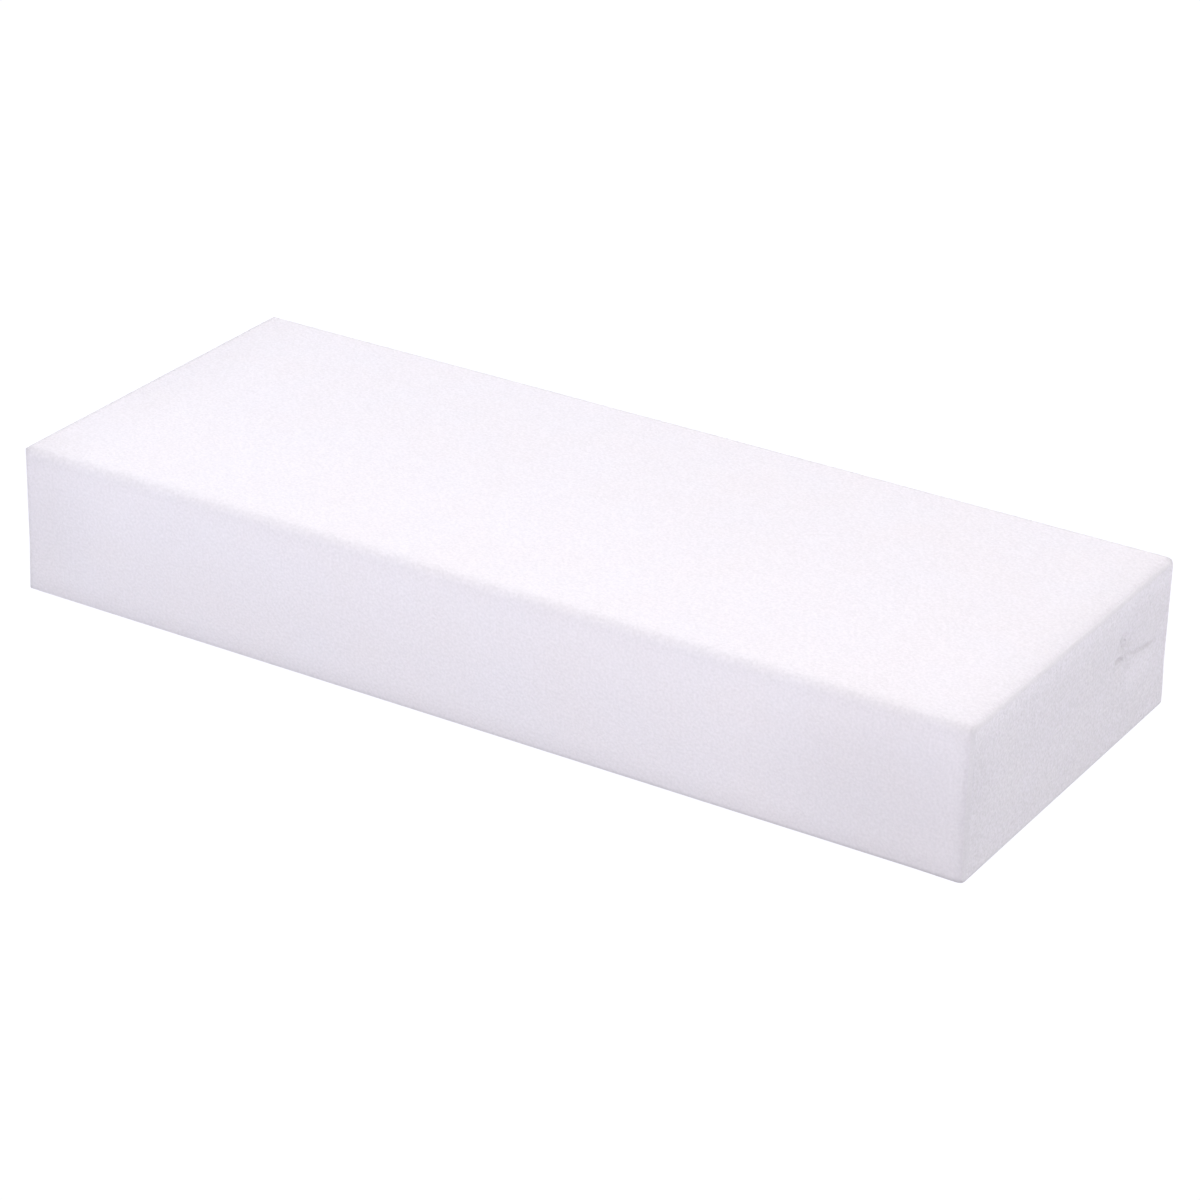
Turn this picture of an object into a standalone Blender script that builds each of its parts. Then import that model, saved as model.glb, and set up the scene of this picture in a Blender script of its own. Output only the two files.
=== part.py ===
"""Nail buffer block: a foam core with one abrasive sheet wrapped round its four long faces.

The sheet has three layers, from the inside out: adhesive film, backing sheet and grit coat. It runs
once round the block and meets itself in a butt seam on the underside. Both ends of the foam are bare.

Every layer is described by its depth below one outer surface, a box whose edges are all rounded to
the same radius. Metres, +Z up. The origin is the centre of the underside, and X runs along the block.
"""

import math

import bmesh
import bpy

LENGTH = 0.100
WIDTH = 0.040
HEIGHT = 0.015
EDGE_RADIUS = 0.0009

GRIT_THICKNESS = 0.00020
BACKING_THICKNESS = 0.00020
ADHESIVE_THICKNESS = 0.00010
LAYER_GAP = 0.00003

SEAM_WIDTH = 0.0003
SEAM_TO_BACK_FACE = 0.006

CORNER_STEPS = 6
GRIT_END_STEPS = 3
BACKING_END_STEPS = 2
ADHESIVE_END_STEPS = 1
CORE_END_STEPS = 3

MERGE_DISTANCE = 0.000001
SHARP_ANGLE = math.radians(35)


def clear_scene():
    for item in list(bpy.data.objects):
        bpy.data.objects.remove(item, do_unlink=True)


def make_material(name, colour, roughness):
    material = bpy.data.materials.new(name)
    material.use_nodes = True
    shader = material.node_tree.nodes["Principled BSDF"]
    shader.inputs["Base Color"].default_value = (*colour, 1.0)
    shader.inputs["Roughness"].default_value = roughness
    shader.inputs["Metallic"].default_value = 0.0
    material.diffuse_color = (*colour, 1.0)
    return material


def quarter_turn(radius, corner, start):
    """(y, z) points of a quarter turn, anticlockwise from the start angle, round a corner's centre."""
    for step in range(CORNER_STEPS + 1):
        angle = start + math.pi / 2 * step / CORNER_STEPS
        yield corner[0] + radius * math.cos(angle), corner[1] + radius * math.sin(angle)


def rounded_outline(depth):
    """The (y, z) outline at a depth below the outer surface, anticlockwise from the underside."""
    half = WIDTH / 2 - EDGE_RADIUS
    low, high = EDGE_RADIUS, HEIGHT - EDGE_RADIUS
    corners = [(half, low), (half, high), (-half, high), (-half, low)]
    radius = EDGE_RADIUS - depth
    outline = []
    for turn, corner in enumerate(corners):
        outline += quarter_turn(radius, corner, (turn - 1) * math.pi / 2)
    return outline


def wrapped_outline(depth):
    """The outline opened at the seam, from one lip of the seam round the block to the other."""
    seam = WIDTH / 2 - SEAM_TO_BACK_FACE
    first = (seam + SEAM_WIDTH / 2, depth)
    last = (seam - SEAM_WIDTH / 2, depth)
    return [first, *rounded_outline(depth), last]


def end_angle(depth):
    """How far round the end's rounded edge a depth lies: 0 on the long face, a right angle on the end."""
    return math.acos(1 - depth / EDGE_RADIUS)


def end_profile(first_depth, last_depth, steps):
    """(depth, inset) points along the end's rounded edge, between two depths."""
    first, last = end_angle(first_depth), end_angle(last_depth)
    for step in range(steps + 1):
        angle = first + (last - first) * step / steps
        yield EDGE_RADIUS * (1 - math.cos(angle)), EDGE_RADIUS * (1 - math.sin(angle))


def section_rings(mesh, outline_at, profile, side):
    """One ring of vertices for each profile point, at the end of the block on that side."""
    rings = []
    for depth, inset in profile:
        x = side * (LENGTH / 2 - inset)
        rings.append([mesh.verts.new((x, y, z)) for y, z in outline_at(depth)])
    return rings


def bridge(mesh, rings, closed_rings):
    """Quads between each ring and the next. The rings' own ends join up if they are closed."""
    for ring, following in zip(rings, rings[1:]):
        count = len(ring)
        for i in range(count if closed_rings else count - 1):
            j = (i + 1) % count
            mesh.faces.new((ring[i], ring[j], following[j], following[i]))


def finish_object(name, mesh, material):
    bmesh.ops.recalc_face_normals(mesh, faces=mesh.faces)
    data = bpy.data.meshes.new(name)
    mesh.to_mesh(data)
    mesh.free()
    data.materials.append(material)
    data.shade_smooth()
    data.set_sharp_from_angle(angle=SHARP_ANGLE)
    item = bpy.data.objects.new(name, data)
    bpy.context.scene.collection.objects.link(item)
    return item


def make_wrapped_layer(name, first_depth, thickness, end_steps, material):
    """A closed layer of even thickness that runs once round the block and stops at the seam."""
    profile = list(end_profile(first_depth, first_depth + thickness, end_steps))
    mesh = bmesh.new()
    right = section_rings(mesh, wrapped_outline, profile, side=1)
    left = section_rings(mesh, wrapped_outline, reversed(profile), side=-1)
    rings = right + left
    bridge(mesh, [*rings, rings[0]], closed_rings=False)
    mesh.faces.new([ring[0] for ring in rings])
    mesh.faces.new([ring[-1] for ring in reversed(rings)])
    return finish_object(name, mesh, material)


def make_foam_core(name, first_depth, material):
    """The foam block inside the sheet, whose two flat ends carry on the sheet's rounded edge.

    Where the rounded edge meets a flat end, each round corner has shrunk to a point.
    """
    profile = list(end_profile(first_depth, EDGE_RADIUS, CORE_END_STEPS))
    mesh = bmesh.new()
    right = section_rings(mesh, rounded_outline, reversed(profile), side=1)
    left = section_rings(mesh, rounded_outline, profile, side=-1)
    bridge(mesh, right + left, closed_rings=True)
    mesh.faces.new(right[0])
    mesh.faces.new(reversed(left[-1]))
    bmesh.ops.remove_doubles(mesh, verts=mesh.verts, dist=MERGE_DISTANCE)
    return finish_object(name, mesh, material)


def build():
    clear_scene()
    white_grit = make_material("white_grit", (0.93, 0.92, 0.94), 0.90)
    white_backing = make_material("white_backing", (0.90, 0.89, 0.91), 0.80)
    clear_adhesive = make_material("clear_adhesive", (0.88, 0.87, 0.88), 0.45)
    white_foam = make_material("white_foam", (0.92, 0.91, 0.93), 0.95)

    backing_depth = GRIT_THICKNESS + LAYER_GAP
    adhesive_depth = backing_depth + BACKING_THICKNESS + LAYER_GAP
    core_depth = adhesive_depth + ADHESIVE_THICKNESS + LAYER_GAP

    make_wrapped_layer("grit_coat", 0.0, GRIT_THICKNESS, GRIT_END_STEPS, white_grit)
    make_wrapped_layer(
        "backing_sheet", backing_depth, BACKING_THICKNESS, BACKING_END_STEPS, white_backing
    )
    make_wrapped_layer(
        "adhesive_film", adhesive_depth, ADHESIVE_THICKNESS, ADHESIVE_END_STEPS, clear_adhesive
    )
    make_foam_core("foam_core", core_depth, white_foam)


build()
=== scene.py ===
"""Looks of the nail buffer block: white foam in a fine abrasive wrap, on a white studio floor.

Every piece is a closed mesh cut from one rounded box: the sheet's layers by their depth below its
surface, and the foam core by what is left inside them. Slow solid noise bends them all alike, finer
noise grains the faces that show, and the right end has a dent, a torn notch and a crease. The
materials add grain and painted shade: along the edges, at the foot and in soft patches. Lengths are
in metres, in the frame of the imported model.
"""

import math

import bpy
import numpy as np
from mathutils import Matrix, Vector, noise


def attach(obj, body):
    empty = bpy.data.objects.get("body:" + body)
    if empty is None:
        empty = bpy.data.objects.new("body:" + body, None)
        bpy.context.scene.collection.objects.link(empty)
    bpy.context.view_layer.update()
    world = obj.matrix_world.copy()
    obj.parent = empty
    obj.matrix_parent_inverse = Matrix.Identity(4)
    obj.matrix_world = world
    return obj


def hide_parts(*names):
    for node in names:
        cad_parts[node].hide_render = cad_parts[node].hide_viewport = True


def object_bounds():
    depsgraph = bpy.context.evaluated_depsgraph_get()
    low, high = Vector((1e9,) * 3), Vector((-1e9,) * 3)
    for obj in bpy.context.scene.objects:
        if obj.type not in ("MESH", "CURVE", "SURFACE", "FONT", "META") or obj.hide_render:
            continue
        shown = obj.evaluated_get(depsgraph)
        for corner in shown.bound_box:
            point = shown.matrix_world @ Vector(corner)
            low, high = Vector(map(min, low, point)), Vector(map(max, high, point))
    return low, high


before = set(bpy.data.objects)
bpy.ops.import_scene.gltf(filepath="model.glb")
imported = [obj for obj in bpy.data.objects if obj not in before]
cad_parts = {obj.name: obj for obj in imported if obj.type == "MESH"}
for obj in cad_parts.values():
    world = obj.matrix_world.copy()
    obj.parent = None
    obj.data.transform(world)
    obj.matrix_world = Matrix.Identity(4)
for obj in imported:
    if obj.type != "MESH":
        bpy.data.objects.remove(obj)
cad_low, cad_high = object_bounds()

MM = 0.001
LENGTH, WIDTH, HEIGHT = (cad_high[axis] - cad_low[axis] for axis in range(3))
FLOOR_Z = cad_low[2]
MIDDLE_Z = FLOOR_Z + HEIGHT / 2
EDGE_RADIUS = 0.9 * MM
SEAM_TO_BACK_FACE = 6.0 * MM
SEAM_WIDTH = 0.1 * MM

# Depths where one layer of the sheet ends and the next begins, with the CAD gaps closed up
GRIT_DEPTH = 0.215 * MM
BACKING_DEPTH = 0.445 * MM
SHEET_DEPTH = 0.575 * MM
CORE_RADIUS = EDGE_RADIUS - SHEET_DEPTH

# How finely each surface is divided
COAT_CELL = 0.36 * MM
HIDDEN_CELL = 2.0 * MM
END_CELL = 0.115 * MM
EDGE_STEPS = 6
SHARP_ANGLE = math.radians(50)

# What a number near zero is raised to before a division by it
TINY = 1e-12

# Where along X the core's hidden walls have points, closer together where the left edges change shape
CORE_STATIONS = np.array([-49, -46, -43, -40, -20, 0, 20, 40, 48.5]) * MM


# ---------------------------------------------------------------- camera

# The photograph's view of the block, from its front and right and from above
CAMERA_AZIMUTH = math.radians(31.15)
CAMERA_ELEVATION = math.radians(26.22)
CAMERA_ROLL = math.radians(1.48)
CAMERA_PLACE = Vector((1.758, -2.881, 1.710)) * LENGTH
CAMERA_LENS_MM = 121.5
CAMERA_CLIP_START = 10 * MM


def make_camera():
    back = Vector((
        math.sin(CAMERA_AZIMUTH) * math.cos(CAMERA_ELEVATION),
        -math.cos(CAMERA_AZIMUTH) * math.cos(CAMERA_ELEVATION),
        math.sin(CAMERA_ELEVATION),
    ))
    level = Vector((0, 0, 1)).cross(back).normalized()
    upright = back.cross(level)
    right = level * math.cos(CAMERA_ROLL) + upright * math.sin(CAMERA_ROLL)
    up = upright * math.cos(CAMERA_ROLL) - level * math.sin(CAMERA_ROLL)
    turn = Matrix((right, up, back)).transposed().to_4x4()
    data = bpy.data.cameras.new("camera")
    data.lens = CAMERA_LENS_MM
    data.clip_start = CAMERA_CLIP_START
    camera = bpy.data.objects.new("camera", data)
    camera.matrix_world = Matrix.Translation(CAMERA_PLACE) @ turn
    bpy.context.scene.collection.objects.link(camera)
    bpy.context.scene.camera = camera


# ---------------------------------------------------------------- unevenness

# Height, width and seed of each noise: what all layers share, then the coat's grain, then the ends'
WAVES = [(0.010 * MM, 14 * MM, 1), (0.006 * MM, 5 * MM, 2)]
COAT_LUMPS = [(0.003 * MM, 1.6 * MM, 3), (0.003 * MM, 0.8 * MM, 4)]
END_LUMPS = [(0.012 * MM, 2.4 * MM, 5)]

# How far apart in space the noises of two seeds that follow each other lie, counted in lumps
SEED_STEP = (17.3, 5.1, 9.7)

# Depth, width and seed of the ends' pores
END_PORES = [(0.040 * MM, 0.50 * MM, 11), (0.018 * MM, 0.31 * MM, 21)]

# A pore's smallest radius and how much larger others are, as shares of its cell, and the share of
# its radius that is a flat floor
PORE_RADIUS, PORE_SPREAD, PORE_FLOOR = 0.42, 0.35, 0.2


def solid_noise(points, size, seed):
    """Smooth noise from -1 to 1 in space, whose lumps are about size across."""
    shift = Vector([seed * step for step in SEED_STEP])
    return np.array([noise.noise(Vector(point) / size + shift) for point in points])


def unevenness(points, noises):
    """The sum of several solid noises at each point."""
    return sum(height * solid_noise(points, size, seed) for height, size, seed in noises)


def smooth_step(low, high, value):
    share = np.clip((value - low) / (high - low), 0, 1)
    return share * share * (3 - 2 * share)


def pores(y, z, cell, seed):
    """How deep each point is in the open pores of cut foam, from 0 to 1. Each cell holds one pore."""
    random = np.random.default_rng(seed)
    count = int(2 * WIDTH / cell)
    centre = random.random((count, count, 2))
    radius = PORE_RADIUS + PORE_SPREAD * random.random((count, count))
    column, row = y / cell + count / 2, z / cell + count / 2
    depth = np.zeros_like(y)
    for step_y in (-1, 0, 1):
        for step_z in (-1, 0, 1):
            i, j = np.floor(column).astype(int) + step_y, np.floor(row).astype(int) + step_z
            away = np.hypot(column - i - centre[i, j, 0], row - j - centre[i, j, 1])
            depth = np.maximum(depth, 1 - smooth_step(PORE_FLOOR, 1.0, away / radius[i, j]))
    return depth


# ---------------------------------------------------------------- edges

# How square a rounded edge is: 2 is a quarter circle. The foot is squarer, most of all on the right
ROUND_POWER, FOOT_POWER, END_POWER = 2.0, 3.0, 3.8

# How far from the foot and each face its kind of edge reaches
FOOT_BLEND, LEFT_BLEND, RIGHT_BLEND, BACK_BLEND = 5 * MM, 10 * MM, 5 * MM, 8 * MM

# How much less the back's corners are mitred at the right end
BACK_ROUNDING = 0.5


def square_off(points):
    """Make the foot's rounded edge squarer, and mitre the corners at the foot, the left and the back.

    The rounding at a corner is part of a ball. Drawn out along its radii, the ball becomes what
    three crossing rounded edges share. All that lies inside it moves with it, so the layers stay
    nested. The right end keeps its round corners, except in part at the back.
    """
    inner = np.array([LENGTH, WIDTH, HEIGHT]) / 2 - EDGE_RADIUS
    centred = points - (0, 0, MIDDLE_Z)
    x, y, z = np.moveaxis(centred, -1, 0)
    foot = 1 - smooth_step(0, FOOT_BLEND, z + HEIGHT / 2)
    left = 1 - smooth_step(0, LEFT_BLEND, x + LENGTH / 2)
    right = 1 - smooth_step(0, RIGHT_BLEND, LENGTH / 2 - x)
    back = 1 - smooth_step(0, BACK_BLEND, WIDTH / 2 - y)
    mitred = np.maximum.reduce([foot * (1 - right), left, back * (1 - BACK_ROUNDING * right)])
    power = ROUND_POWER + foot * (FOOT_POWER - ROUND_POWER + (END_POWER - FOOT_POWER) * right)

    past = centred - np.clip(centred, -inner, inner)
    share = (np.abs(past) / EDGE_RADIUS) ** power[..., None]
    ball = share.sum(axis=-1)
    crossing = ball - share.min(axis=-1)
    size = (ball + (crossing - ball) * mitred) ** (1 / power)
    radius = np.linalg.norm(past, axis=-1) / EDGE_RADIUS
    stretch = np.where(size > 0, radius / np.maximum(size, TINY), 1)
    return points + past * (stretch - 1)[..., None]


# ---------------------------------------------------------------- meshes

def spaced(first, last, cell):
    """Even steps from first to last, no longer than cell."""
    return np.linspace(first, last, max(2, math.ceil(abs(last - first) / cell) + 1))


def link_mesh(name, vertices, faces, material):
    data = bpy.data.meshes.new(name)
    data.from_pydata(vertices, [], faces)
    data.materials.append(material)
    data.shade_smooth()
    data.set_sharp_from_angle(angle=SHARP_ANGLE)
    piece = bpy.data.objects.new(name, data)
    bpy.context.scene.collection.objects.link(piece)
    return piece


# ---------------------------------------------------------------- the sheet's layers

def girth(cell):
    """(base, normal) pairs once round the block, from one lip of the underside's seam to the other.

    A point at some depth is base + (EDGE_RADIUS - depth) * normal, in (y, z).
    """
    half_y, half_z = WIDTH / 2 - EDGE_RADIUS, HEIGHT / 2 - EDGE_RADIUS
    corners = [(half_y, -half_z), (half_y, half_z), (-half_y, half_z), (-half_y, -half_z)]
    seam = WIDTH / 2 - SEAM_TO_BACK_FACE
    bases, normals = [], []

    def straight(start, end, normal):
        for share in spaced(0, 1, cell / math.dist(start, end)):
            bases.append(np.array(start) * (1 - share) + np.array(end) * share)
            normals.append(normal)

    def corner(centre, first_angle):
        for step in range(1, EDGE_STEPS):
            angle = first_angle + math.pi / 2 * step / EDGE_STEPS
            bases.append(np.array(centre))
            normals.append((math.cos(angle), math.sin(angle)))

    straight((seam + SEAM_WIDTH / 2, -half_z), corners[0], (0, -1))
    corner(corners[0], -math.pi / 2)
    straight(corners[0], corners[1], (1, 0))
    corner(corners[1], 0)
    straight(corners[1], corners[2], (0, 1))
    corner(corners[2], math.pi / 2)
    straight(corners[2], corners[3], (-1, 0))
    corner(corners[3], math.pi)
    straight(corners[3], (seam - SEAM_WIDTH / 2, -half_z), (0, -1))
    return np.array(bases), np.array(normals)


def end_angle(depth):
    """How far round the end's rounded edge a depth lies, from the long face to the end."""
    return math.acos(1 - depth / EDGE_RADIUS)


def layer_profile(outer, inner, cell):
    """(side, depth, angle, x) rows once round a layer's section along the block, outer face first.

    The inner face has no rows of its own. It runs straight from the right rim's last row to the left's.
    """
    flat = LENGTH / 2 - EDGE_RADIUS
    first, last = end_angle(outer), end_angle(inner)
    rim = [first + (last - first) * step / EDGE_STEPS for step in range(1, EDGE_STEPS + 1)]
    start = flat + EDGE_RADIUS * math.sin(first)
    rows = [(0, outer, 0.0, x) for x in spaced(-start, start, cell)]
    for side, angles in ((1, rim), (-1, rim[::-1])):
        for angle in angles:
            depth = EDGE_RADIUS * (1 - math.cos(angle))
            rows.append((side, depth, angle, side * (flat + EDGE_RADIUS * math.sin(angle))))
    return rows


def wrapped_layer(name, outer, inner, cell, material, lumps=()):
    """A layer of the sheet: a closed skin from depth outer to depth inner, open only at the seam."""
    bases, normals = girth(cell)
    profile = layer_profile(outer, inner, cell)
    count, rows = len(bases), len(profile)
    points, facing = np.empty((rows, count, 3)), np.empty((rows, count, 3))
    for row, (side, depth, angle, x) in enumerate(profile):
        points[row, :, 0] = x
        points[row, :, 1:] = bases + (EDGE_RADIUS - depth) * normals
        facing[row, :, 0] = side * math.sin(angle)
        facing[row, :, 1:] = math.cos(angle) * normals
    points[..., 2] += MIDDLE_Z
    points, facing = square_off(points.reshape(-1, 3)), facing.reshape(-1, 3)
    on_long_face = np.repeat([side == 0 for side, *_ in profile], count)
    lift = unevenness(points, WAVES) + unevenness(points, lumps) * on_long_face
    points = points + lift[:, None] * facing
    points[:, 2] = np.maximum(points[:, 2], FLOOR_Z)
    faces = []
    for row in range(rows):
        start, following = row * count, (row + 1) % rows * count
        for i in range(count - 1):
            faces.append((start + i, start + i + 1, following + i + 1, following + i))
    faces.append([row * count for row in range(rows)])
    faces.append([row * count + count - 1 for row in reversed(range(rows))])
    return link_mesh(name, points, faces, material)


# ---------------------------------------------------------------- the bruise on the right end

# Places on the right end are (y, z): y from its middle towards the back face, z up from the foot.
# A depth is how far the foam is pressed in at most
DENT_DEPTH, DENT_PLACE, DENT_RADII = 0.20 * MM, (10.4 * MM, 10.7 * MM), (1.8 * MM, 1.2 * MM)
NOTCH_DEPTH, NOTCH_RADIUS = 0.29 * MM, 0.24 * MM
NOTCH_START, NOTCH_RUN = (8.5 * MM, 9.2 * MM), (1.2 * MM, -0.2 * MM)
TORN_DEPTH, TORN_PLACE, TORN_RADII = 0.22 * MM, (9.9 * MM, 10.5 * MM), (1.1 * MM, 1.1 * MM)
TORN_PORE, TORN_SEED = 0.55 * MM, 31

# The crease sinks towards the back along a decaying curve, and fades in and out at its two ends. The
# foam above its groove is a little recessed
CREASE_LOW, CREASE_RISE, CREASE_START, CREASE_RUN = 8.0 * MM, 1.1 * MM, 10.8 * MM, 2.8 * MM
CREASE_FADE_IN, CREASE_FADE_OUT = (9.8 * MM, 11.2 * MM), (14.5 * MM, 18.5 * MM)
GROOVE_DEPTH, GROOVE_RADIUS = 0.10 * MM, 0.13 * MM
RECESS_DEPTH, RECESS_REACH, RECESS_EDGE = 0.07 * MM, 1.2 * MM, 0.15 * MM

# Below the crease the foam stands out in a broad lip, and in a low crest right beside the groove
LIP_HEIGHT, LIP_PEAK = 0.20 * MM, 1.4 * MM
CREST_HEIGHT, CREST_REACH = 0.05 * MM, 0.8 * MM

# A faint arc round the dent, between two angles anticlockwise from +y
ARC_DEPTH, ARC_PLACE, ARC_RADIUS, ARC_WIDTH = 0.05 * MM, (10.9 * MM, 10.5 * MM), 1.75 * MM, 0.2 * MM
ARC_FADE_IN, ARC_FADE_OUT = (1.6, 2.2), (3.0, 3.14)


def hollow(y, z, place, radii):
    """A round hollow's depth, from 1 in its middle down to 0 far away."""
    return np.exp(-((y - place[0]) / radii[0]) ** 2 - ((z - place[1]) / radii[1]) ** 2)


def crease(y, z):
    """How deep the crease and the recess above it are, less the lip and crest that stand out below."""
    shown = smooth_step(*CREASE_FADE_IN, y) * (1 - smooth_step(*CREASE_FADE_OUT, y))
    above = z - CREASE_LOW - CREASE_RISE * np.exp((CREASE_START - y) / CREASE_RUN)
    below = np.maximum(-above, 0)
    upper = 0.5 + 0.5 * np.tanh(above / RECESS_EDGE)
    groove = GROOVE_DEPTH * np.exp(-(above / GROOVE_RADIUS) ** 2)
    recess = RECESS_DEPTH * upper * np.exp(-np.abs(above) / RECESS_REACH)
    lip = LIP_HEIGHT * below / LIP_PEAK * np.exp(1 - below / LIP_PEAK)
    crest = CREST_HEIGHT * (1 - upper) * np.exp(-below / CREST_REACH)
    return shown * (groove + recess - lip - crest)


def bruise(y, z):
    """How deep the right end is pressed in round its torn notch and crease."""
    dent = DENT_DEPTH * hollow(y, z, DENT_PLACE, DENT_RADII)

    along = np.clip((y - NOTCH_START[0]) / NOTCH_RUN[0], 0, 1)
    notch_y, notch_z = (start + run * along for start, run in zip(NOTCH_START, NOTCH_RUN))
    notch = NOTCH_DEPTH * np.exp(-(np.hypot(y - notch_y, z - notch_z) / NOTCH_RADIUS) ** 2)
    torn = TORN_DEPTH * hollow(y, z, TORN_PLACE, TORN_RADII) * pores(y, z, TORN_PORE, TORN_SEED)

    from_y, from_z = y - ARC_PLACE[0], z - ARC_PLACE[1]
    turn = np.arctan2(from_z, from_y)
    shown = smooth_step(*ARC_FADE_IN, turn) * (1 - smooth_step(*ARC_FADE_OUT, turn))
    off_arc = np.hypot(from_y, from_z) - ARC_RADIUS
    arc = ARC_DEPTH * shown * np.exp(-(off_arc / ARC_WIDTH) ** 2)
    return dent + notch + torn + crease(y, z) + arc


# ---------------------------------------------------------------- the foam core

def rounded_grid(half_y, half_z, radius, cell):
    """(y, z) grids over a rectangle whose corner squares are drawn in to quarter discs."""
    y, z = np.meshgrid(spaced(-half_y, half_y, cell), spaced(-half_z, half_z, cell), indexing="ij")
    past_y = np.maximum(np.abs(y) - (half_y - radius), 0) / radius
    past_z = np.maximum(np.abs(z) - (half_z - radius), 0) / radius
    away = np.hypot(past_y, past_z)
    pull = np.where(away > 0, np.maximum(past_y, past_z) / np.maximum(away, TINY), 1)
    y = np.sign(y) * (np.minimum(np.abs(y), half_y - radius) + past_y * pull * radius)
    z = np.sign(z) * (np.minimum(np.abs(z), half_z - radius) + past_z * pull * radius)
    return y, z


def core_end(side, y, z):
    """The points of one bare end, from a grid, with its rounded rim, open pores and any bruise."""
    past_y = np.maximum(np.abs(y) - (WIDTH / 2 - EDGE_RADIUS), 0)
    past_z = np.maximum(np.abs(z) - (HEIGHT / 2 - EDGE_RADIUS), 0)
    past = np.hypot(past_y, past_z)
    inset = EDGE_RADIUS - np.sqrt(EDGE_RADIUS ** 2 - past ** 2)
    points = square_off(np.stack([side * (LENGTH / 2 - inset), y, z + MIDDLE_Z], axis=-1))
    flat = points.reshape(-1, 3)
    inside = 1 - past / CORE_RADIUS
    depth = -unevenness(flat, WAVES).reshape(y.shape)
    for height, cell, seed in END_PORES:
        depth += height * pores(y, z, cell, seed + side) * inside
    depth += unevenness(flat, END_LUMPS).reshape(y.shape) * inside
    if side > 0:
        depth += bruise(y, z + HEIGHT / 2)
    points[..., 0] -= side * depth
    return points


def foam_core(name, material):
    """The foam block: two fine ends joined by plain walls, which the sheet covers."""
    y, z = rounded_grid(WIDTH / 2 - SHEET_DEPTH, HEIGHT / 2 - SHEET_DEPTH, CORE_RADIUS, END_CELL)
    right, left = core_end(1, y, z), core_end(-1, y, z)
    columns, rows = y.shape
    border = (
        [(i, 0) for i in range(columns - 1)]
        + [(columns - 1, j) for j in range(rows - 1)]
        + [(i, rows - 1) for i in range(columns - 1, 0, -1)]
        + [(0, j) for j in range(rows - 1, 0, -1)]
    )
    walls = []
    for x in CORE_STATIONS:
        section = square_off(np.stack([np.full_like(y, x), y, z + MIDDLE_Z], axis=-1))
        walls.append(np.array([section[at] for at in border]))
    points = np.concatenate([right.reshape(-1, 3), left.reshape(-1, 3), *walls])

    size, around = columns * rows, len(border)
    faces = []
    for i in range(columns - 1):
        for j in range(rows - 1):
            a, b = i * rows + j, (i + 1) * rows + j
            faces.append((a, b, b + 1, a + 1))
            faces.append((size + a + 1, size + b + 1, size + b, size + a))
    rings = [[size + i * rows + j for i, j in border]]
    for wall in range(len(walls)):
        start = 2 * size + wall * around
        rings.append(list(range(start, start + around)))
    rings.append([i * rows + j for i, j in border])
    for ring, following in zip(rings, rings[1:]):
        for k in range(around):
            after = (k + 1) % around
            faces.append((ring[k], ring[after], following[after], following[k]))
    return link_mesh(name, points, faces, material)


# ---------------------------------------------------------------- colours and painted shade

WARM_WHITE, COOL_WHITE = (0.870, 0.827, 0.879), (0.867, 0.836, 0.903)
WARM_FOAM, COOL_FOAM = (0.903, 0.867, 0.909), (0.901, 0.862, 0.924)
SHEET_WHITE = (0.885, 0.850, 0.892)
SPECULAR = 0.25

# Where nearly all of a texture noise's values lie
NOISE_RANGE = (0.3, 0.7)

# The grain, and how bright its dark side is as a share of the colour
GRAIN_SIZE = 0.26 * MM
GRIT_SHADE, GRIT_BUMP, GRIT_ROUGH, GRIT_SMOOTH = 0.93, 0.08 * MM, 0.95, 0.85
FOAM_SHADE, FOAM_BUMP = 0.88, 0.10 * MM
SHEET_SHADE, SHEET_BUMP = 0.92, 0.03 * MM

# Patches of warmer and cooler white. A coolness is a share of the cool white, and the grit's also
# grows towards the left
GRIT_PATCH, FOAM_PATCH = 7 * MM, 5 * MM
PATCH_COOLNESS, LEFT_COOLNESS = (-0.2, 0.4), 0.8

# How much of the colour the painted shade takes away and how far it reaches: along all edges, in a thin
# line along the back and left edges, at the foot, and as a painted contact shadow in a line at the foot
EDGE_PAINTED_SHADE, EDGE_REACH = 0.025, 1.9 * MM
BACK_PAINTED_SHADE, LEFT_PAINTED_SHADE, LINE_CORE, LINE_REACH = 0.30, 0.36, 0.35 * MM, 1.1 * MM
FOOT_PAINTED_SHADE, FOOT_REACH = 0.055, 3.0 * MM
CONTACT_SHADOW_LEFT, CONTACT_SHADOW_RIGHT, CONTACT_SHADOW_REACH = 0.12, 0.40, 0.7 * MM

# Below the top edge and at the front face the thin line keeps only this share of its strength,
# and it grows to full strength over this distance from the front
LINE_SHARE, LINE_START = 0.35, 3.3 * MM

# (amount, place, radii) of each patch of painted shade. It is even over a share of its radii, then
# fades out
SHADE_PATCHES = [
    (0.070, (44 * MM, -WIDTH / 2, 7.0 * MM), (18 * MM, 8 * MM, 11 * MM)),
    (0.050, (-50 * MM, -WIDTH / 2, 9.0 * MM), (11 * MM, 8 * MM, 11 * MM)),
    (0.014, (0.0, -WIDTH / 2, HEIGHT), (150 * MM, 13 * MM, 3 * MM)),
    (0.030, (LENGTH / 2, 0.0, HEIGHT), (5 * MM, 60 * MM, 3 * MM)),
    (0.030, (-LENGTH / 2, 0.0, HEIGHT), (8 * MM, 60 * MM, 3 * MM)),
]
END_SHADE_PATCHES = [
    (0.022, (LENGTH / 2, 0.0, 10.0 * MM), (5 * MM, 60 * MM, 4.5 * MM)),
    (0.030, (LENGTH / 2, -WIDTH / 2, 7.5 * MM), (5 * MM, 6 * MM, 12 * MM)),
]
SHADE_PATCH_CORE = 0.2

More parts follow.
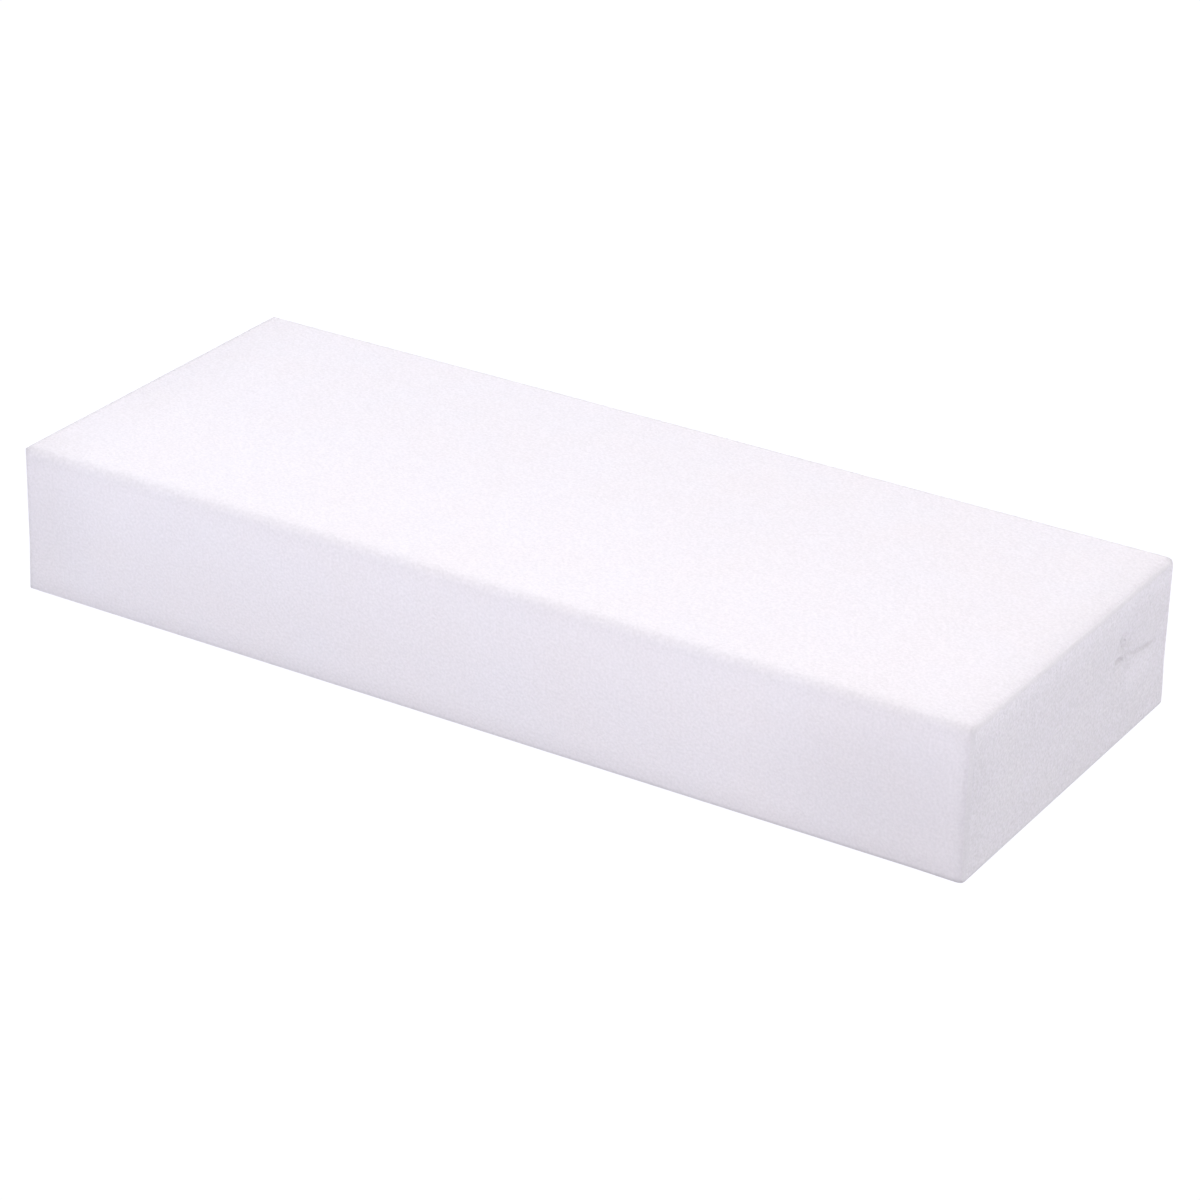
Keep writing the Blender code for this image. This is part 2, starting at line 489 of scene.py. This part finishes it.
# How much the painted shade darkens the ends away from their top edge, except in a lighter patch below
# the crease, which is left without it throughout over a share of its radii
END_PAINTED_SHADE, END_REACH = 0.040, 2.5 * MM
LIGHTER_PATCH_PLACE, LIGHTER_PATCH_RADII = (LENGTH / 2, 13.0 * MM, 6.9 * MM), (5 * MM, 4.5 * MM, 2.2 * MM)
LIGHTER_PATCH_CORE = 0.3


# ---------------------------------------------------------------- materials

class Finish:
    """A procedural material, whose patterns lie in the block's own space."""

    def __init__(self, name, roughness, specular=SPECULAR):
        self.material = bpy.data.materials.new(name)
        self.material.use_nodes = True
        tree = self.material.node_tree
        self.nodes, self.links = tree.nodes, tree.links
        self.shader = self.nodes["Principled BSDF"]
        self.shader.inputs["Roughness"].default_value = roughness
        self.shader.inputs["Specular IOR Level"].default_value = specular
        self.space = self.nodes.new("ShaderNodeTexCoord").outputs["Object"]

    def noise(self, size, detail=1.0):
        """Smooth noise from 0 to 1, about 0.5, whose lumps are about size across."""
        node = self.nodes.new("ShaderNodeTexNoise")
        node.inputs["Scale"].default_value = 1 / size
        node.inputs["Detail"].default_value = detail
        self.links.new(self.space, node.inputs["Vector"])
        return node.outputs["Fac"]

    def vector(self, operation, first, second=None):
        """A vector from one step of vector arithmetic on a socket and three numbers, or its length."""
        node = self.nodes.new("ShaderNodeVectorMath")
        node.operation = operation
        self.links.new(first, node.inputs[0])
        if second:
            node.inputs[1].default_value = second
        return node.outputs["Value" if operation == "LENGTH" else "Vector"]

    def apart(self, vector):
        """The X, Y and Z of a vector."""
        node = self.nodes.new("ShaderNodeSeparateXYZ")
        self.links.new(vector, node.inputs[0])
        return node.outputs

    def arithmetic(self, operation, first, second):
        """A number from one step of arithmetic on two sockets."""
        node = self.nodes.new("ShaderNodeMath")
        node.operation = operation
        self.links.new(first, node.inputs[0])
        self.links.new(second, node.inputs[1])
        return node.outputs["Value"]

    def outside(self, half_x, half_y):
        """How far each point lies outside an upright box round the block's middle, sideways."""
        past = self.vector("SUBTRACT", self.vector("ABSOLUTE", self.space), (half_x, half_y, HEIGHT))
        return self.vector("LENGTH", self.vector("MAXIMUM", past, (0.0, 0.0, 0.0)))

    def from_edge(self):
        """How far each point of the block's surface lies from the nearest edge of the block.

        That is the middle one of its distances from the three pairs of faces.
        """
        middle = self.vector("SUBTRACT", self.space, (0.0, 0.0, MIDDLE_Z))
        halves = (LENGTH / 2, WIDTH / 2, HEIGHT / 2)
        past = self.vector("SUBTRACT", self.vector("ABSOLUTE", middle), halves)
        x, y, z = self.apart(self.vector("ABSOLUTE", past))
        nearer = self.arithmetic("MINIMUM", x, y)
        farther = self.arithmetic("MAXIMUM", x, y)
        return self.arithmetic("MAXIMUM", nearer, self.arithmetic("MINIMUM", farther, z))

    def reach(self, centre, radii):
        """How far each point lies from a centre, as a share of a radius of its own on each axis."""
        away = self.vector("SUBTRACT", self.space, centre)
        return self.vector("LENGTH", self.vector("DIVIDE", away, radii))

    def span(self, value, low, high, to_low=0.0, to_high=1.0, smooth=False):
        """A value whose range from low to high is mapped to another one, and held at both ends."""
        node = self.nodes.new("ShaderNodeMapRange")
        node.interpolation_type = "SMOOTHSTEP" if smooth else "LINEAR"
        ends = {"From Min": low, "From Max": high, "To Min": to_low, "To Max": to_high}
        for name, number in ends.items():
            node.inputs[name].default_value = number
        self.links.new(value, node.inputs["Value"])
        return node.outputs["Result"]

    def darken(self, colour, amount):
        """The colour with a share of it, given by a socket from 0 to 1, taken away."""
        node = self.nodes.new("ShaderNodeVectorMath")
        node.operation = "SCALE"
        self.links.new(colour, node.inputs[0])
        self.links.new(self.span(amount, 0, 1, 1.0, 0.0), node.inputs["Scale"])
        return node.outputs["Vector"]

    def edge_shaded(self, colour):
        """The colour darkened by painted shade along all edges, and more in a thin line along the back
        and left ones.
        """
        x, y, z = self.apart(self.space)
        from_edge = self.from_edge()
        colour = self.darken(colour, self.span(from_edge, 0, EDGE_REACH, EDGE_PAINTED_SHADE, 0.0, smooth=True))
        line = self.arithmetic(
            "MAXIMUM",
            self.span(y, WIDTH / 2 - LINE_REACH, WIDTH / 2 - LINE_CORE, 0.0, BACK_PAINTED_SHADE),
            self.span(x, LINE_CORE - LENGTH / 2, LINE_REACH - LENGTH / 2, LEFT_PAINTED_SHADE, 0.0),
        )
        strength = self.arithmetic(
            "MINIMUM",
            self.span(z, HEIGHT - LINE_REACH, HEIGHT - LINE_CORE, LINE_SHARE, 1.0),
            self.span(y, -WIDTH / 2, LINE_START - WIDTH / 2, LINE_SHARE, 1.0),
        )
        close = self.span(from_edge, LINE_CORE, LINE_REACH, 1.0, 0.0)
        share = self.arithmetic("MULTIPLY", line, self.arithmetic("MULTIPLY", strength, close))
        return self.darken(colour, share)

    def foot_shaded(self, colour):
        """The colour darkened by painted shade at the foot."""
        z = self.apart(self.space)["Z"]
        return self.darken(colour, self.span(z, 0, FOOT_REACH, FOOT_PAINTED_SHADE, 0.0, smooth=True))

    def contact_shaded(self, colour):
        """The colour with a thin line of painted contact shadow at the foot, which thickens to the
        right.
        """
        place = self.apart(self.space)
        line = self.span(place["X"], -LENGTH / 2, LENGTH / 2, CONTACT_SHADOW_LEFT, CONTACT_SHADOW_RIGHT)
        low = self.span(place["Z"], 0, CONTACT_SHADOW_REACH, 1.0, 0.0, smooth=True)
        return self.darken(colour, self.arithmetic("MULTIPLY", line, low))

    def end_shaded(self, colour):
        """The colour darkened by painted shade below the top edge, except in a lighter patch under the
        crease.
        """
        z = self.apart(self.space)["Z"]
        below = self.span(z, HEIGHT - END_REACH, HEIGHT, END_PAINTED_SHADE, 0.0, smooth=True)
        around = self.span(self.reach(LIGHTER_PATCH_PLACE, LIGHTER_PATCH_RADII), LIGHTER_PATCH_CORE, 1.0, smooth=True)
        return self.darken(colour, self.arithmetic("MULTIPLY", below, around))

    def patch_shaded(self, colour, smudges):
        """The colour darkened by each patch of painted shade, fading out to its radii."""
        for amount, place, radii in smudges:
            share = self.span(self.reach(place, radii), SHADE_PATCH_CORE, 1.0, amount, 0.0, smooth=True)
            colour = self.darken(colour, share)
        return colour

    def blend(self, share, first, second):
        """A colour between two, each of them a tuple or a socket."""
        node = self.nodes.new("ShaderNodeMix")
        node.data_type = "RGBA"
        self.links.new(share, node.inputs["Factor"])
        for side, name in ((first, "A"), (second, "B")):
            socket = next(s for s in node.inputs if s.name == name and s.type == "RGBA")
            if isinstance(side, tuple):
                socket.default_value = (*side, 1)
            else:
                self.links.new(side, socket)
        return next(s for s in node.outputs if s.type == "RGBA")

    def bump(self, height, depth):
        """Normals from a height of 0 to 1, depth metres deep."""
        node = self.nodes.new("ShaderNodeBump")
        node.inputs["Strength"].default_value = 1.0
        node.inputs["Distance"].default_value = depth
        self.links.new(height, node.inputs["Height"])
        return node.outputs["Normal"]

    def paint(self, colour, normal, roughness=None):
        """The material, with its patterns joined to the shader."""
        for name, socket in (("Base Color", colour), ("Normal", normal), ("Roughness", roughness)):
            if socket:
                self.links.new(socket, self.shader.inputs[name])
        return self.material


def shade(colour, share):
    return tuple(channel * share for channel in colour)


def grit_finish():
    """White abrasive grain, in warmer and cooler patches and cooler towards the left."""
    finish = Finish("grit", roughness=0.9)
    fine = finish.noise(GRAIN_SIZE)
    grain = finish.span(fine, *NOISE_RANGE)
    patch = finish.span(finish.noise(GRIT_PATCH, detail=2.0), *NOISE_RANGE, *PATCH_COOLNESS)
    x = finish.apart(finish.space)["X"]
    cool = finish.arithmetic("ADD", finish.span(x, -LENGTH / 2, LENGTH / 2, LEFT_COOLNESS, 0.0), patch)
    base = finish.blend(cool, WARM_WHITE, COOL_WHITE)
    dark = finish.blend(cool, shade(WARM_WHITE, GRIT_SHADE), shade(COOL_WHITE, GRIT_SHADE))
    # Patches of painted shade, then painted shade along the edges and at the foot, and a painted
    # contact shadow in a line at the foot
    colour = finish.patch_shaded(finish.blend(grain, dark, base), SHADE_PATCHES)
    colour = finish.contact_shaded(finish.foot_shaded(finish.edge_shaded(colour)))
    roughness = finish.span(fine, *NOISE_RANGE, GRIT_ROUGH, GRIT_SMOOTH)
    return finish.paint(colour, finish.bump(fine, GRIT_BUMP), roughness)


def foam_finish():
    """Cut white foam, with deeper grain than the grit's, darkened by painted shade away from its top
    edge.
    """
    finish = Finish("foam", roughness=0.95)
    fine = finish.noise(GRAIN_SIZE)
    patch = finish.span(finish.noise(FOAM_PATCH, detail=2.0), *NOISE_RANGE)
    base = finish.blend(patch, WARM_FOAM, COOL_FOAM)
    colour = finish.blend(finish.span(fine, *NOISE_RANGE), shade(WARM_FOAM, FOAM_SHADE), base)
    # Painted shade below the top edge and in patches, and a painted contact shadow in a line at the
    # foot
    colour = finish.contact_shaded(finish.patch_shaded(finish.end_shaded(colour), END_SHADE_PATCHES))
    return finish.paint(colour, finish.bump(fine, FOAM_BUMP))


def sheet_finish(name, roughness, grain_size):
    """The sheet's inner layers, which show only as a thin edge round each end."""
    finish = Finish(name, roughness)
    fine = finish.noise(grain_size, detail=2.0)
    colour = finish.blend(finish.span(fine, *NOISE_RANGE), shade(SHEET_WHITE, SHEET_SHADE), SHEET_WHITE)
    # Painted shade in patches and along the edges, and a painted contact shadow in a line at the foot
    colour = finish.contact_shaded(finish.edge_shaded(finish.patch_shaded(colour, SHADE_PATCHES)))
    return finish.paint(colour, finish.bump(fine, SHEET_BUMP))


# ---------------------------------------------------------------- studio

# The floor's half side, and how far it lies below the block
FLOOR_REACH, FLOOR_GAP = 3.0, 0.02 * MM

# How far in from the block's sides the floor is still lit, and over what distance its glow fades in.
# Further in, the floor under the block is left dark as a painted contact shadow
UNDER_BLOCK, UNDER_FADE = 1.2 * MM, 0.8 * MM

# The distances from the block over which the glow and its tint change, and their values at each end
GLOW_RISE, NEAR_GLOW, FAR_GLOW = (0.20, 0.30), 1.03, 3.5
TINT_RISE, NEAR_TINT, FAR_TINT = (4 * MM, 20 * MM), (1.0, 1.0, 1.05), (1.0, 1.0, 1.06)

# How high the world's white band stays white, and where it is black, as the sine of the elevation
BAND_TOP, BAND_FADE = 0.11, 0.28

# (name, azimuth, elevation, strength) in degrees. Azimuth 0 is in front of the block, 90 on its right
FAR_LIGHTS = [
    ("behind", 180, 45, 1.66),
    ("front_left", -45, 60, 1.22),
    ("right", 90, 45, 0.70),
    ("left", -90, 60, 0.60),
]
FAR_LIGHT_SPREAD = math.radians(40)

# (name, place, aim, size, watts)
NEAR_LIGHTS = [
    ("front", (-0.01, -0.16, 0.12), (0, 0, 0), (0.10, 0.10), 0.026),
    ("front_strip", (0, -0.055, 0.055), (0, -0.02, 0.012), (0.14, 0.03), 0.006),
]


def make_floor():
    """A glowing white floor: dark under the block as a painted contact shadow, white round it, and
    brighter far off.
    """
    signs = ((-1, -1), (1, -1), (1, 1), (-1, 1))
    corners = [(FLOOR_REACH * x, FLOOR_REACH * y, 0) for x, y in signs]
    finish = Finish("white_floor", roughness=1.0, specular=0.0)
    away = finish.outside(LENGTH / 2 - UNDER_BLOCK, WIDTH / 2 - UNDER_BLOCK)
    rise = finish.span(away, *GLOW_RISE, NEAR_GLOW, FAR_GLOW)
    glow = finish.arithmetic("MULTIPLY", finish.span(away, 0, UNDER_FADE), rise)
    tint = finish.blend(finish.span(away, *TINT_RISE), NEAR_TINT, FAR_TINT)
    finish.shader.inputs["Base Color"].default_value = (0, 0, 0, 1)
    finish.links.new(tint, finish.shader.inputs["Emission Color"])
    finish.links.new(glow, finish.shader.inputs["Emission Strength"])
    floor = link_mesh("floor", corners, [(0, 1, 2, 3)], finish.material)
    floor.location.z = FLOOR_Z - FLOOR_GAP


def make_world():
    """A white band round the horizon, as far up as low views reach, and black above it."""
    world = bpy.data.worlds.new("studio")
    bpy.context.scene.world = world
    world.use_nodes = True
    nodes, links = world.node_tree.nodes, world.node_tree.links
    direction = nodes.new("ShaderNodeTexCoord")
    apart = nodes.new("ShaderNodeSeparateXYZ")
    ramp = nodes.new("ShaderNodeValToRGB")
    links.new(direction.outputs["Generated"], apart.inputs[0])
    links.new(apart.outputs["Z"], ramp.inputs["Fac"])
    links.new(ramp.outputs["Color"], nodes["Background"].inputs["Color"])
    band, above = ramp.color_ramp.elements
    band.position, band.color = BAND_TOP, (1, 1, 1, 1)
    above.position, above.color = BAND_FADE, (0, 0, 0, 1)


def add_light(name, data, place, aim):
    light = bpy.data.objects.new(name, data)
    light.location = place
    light.rotation_euler = (Vector(place) - Vector(aim)).to_track_quat("Z", "Y").to_euler()
    light.visible_camera = False
    bpy.context.scene.collection.objects.link(light)


def far_light(name, azimuth, elevation, strength):
    """A big soft light a long way off."""
    data = bpy.data.lights.new(name, "SUN")
    data.energy = strength
    data.angle = FAR_LIGHT_SPREAD
    across, up = math.radians(azimuth), math.radians(elevation)
    place = (math.sin(across) * math.cos(up), -math.cos(across) * math.cos(up), math.sin(up))
    add_light(name, data, place, (0, 0, 0))


def near_light(name, place, aim, size, watts):
    """A soft rectangular light beside the block."""
    data = bpy.data.lights.new(name, "AREA")
    data.shape = "RECTANGLE"
    data.size, data.size_y = size
    data.energy = watts
    add_light(name, data, place, aim)


# ---------------------------------------------------------------- the scene

make_camera()

coat = wrapped_layer("coat", 0.0, GRIT_DEPTH, COAT_CELL, grit_finish(), lumps=COAT_LUMPS)
backing = sheet_finish("backing", roughness=0.8, grain_size=0.2 * MM)
carrier = wrapped_layer("carrier", GRIT_DEPTH, BACKING_DEPTH, HIDDEN_CELL, backing)
adhesive = sheet_finish("adhesive", roughness=0.6, grain_size=0.3 * MM)
glue = wrapped_layer("glue", BACKING_DEPTH, SHEET_DEPTH, HIDDEN_CELL, adhesive)
core = foam_core("core", foam_finish())

for piece, node, slot in (
    (coat, "grit_coat", "grit"),
    (carrier, "backing_sheet", "backing"),
    (glue, "adhesive_film", "adhesive"),
    (core, "foam_core", "foam"),
):
    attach(piece, "root")
    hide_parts(node)

make_floor()
make_world()
for light in FAR_LIGHTS:
    far_light(*light)
for light in NEAR_LIGHTS:
    near_light(*light)

bpy.context.scene.view_settings.view_transform = "Standard"
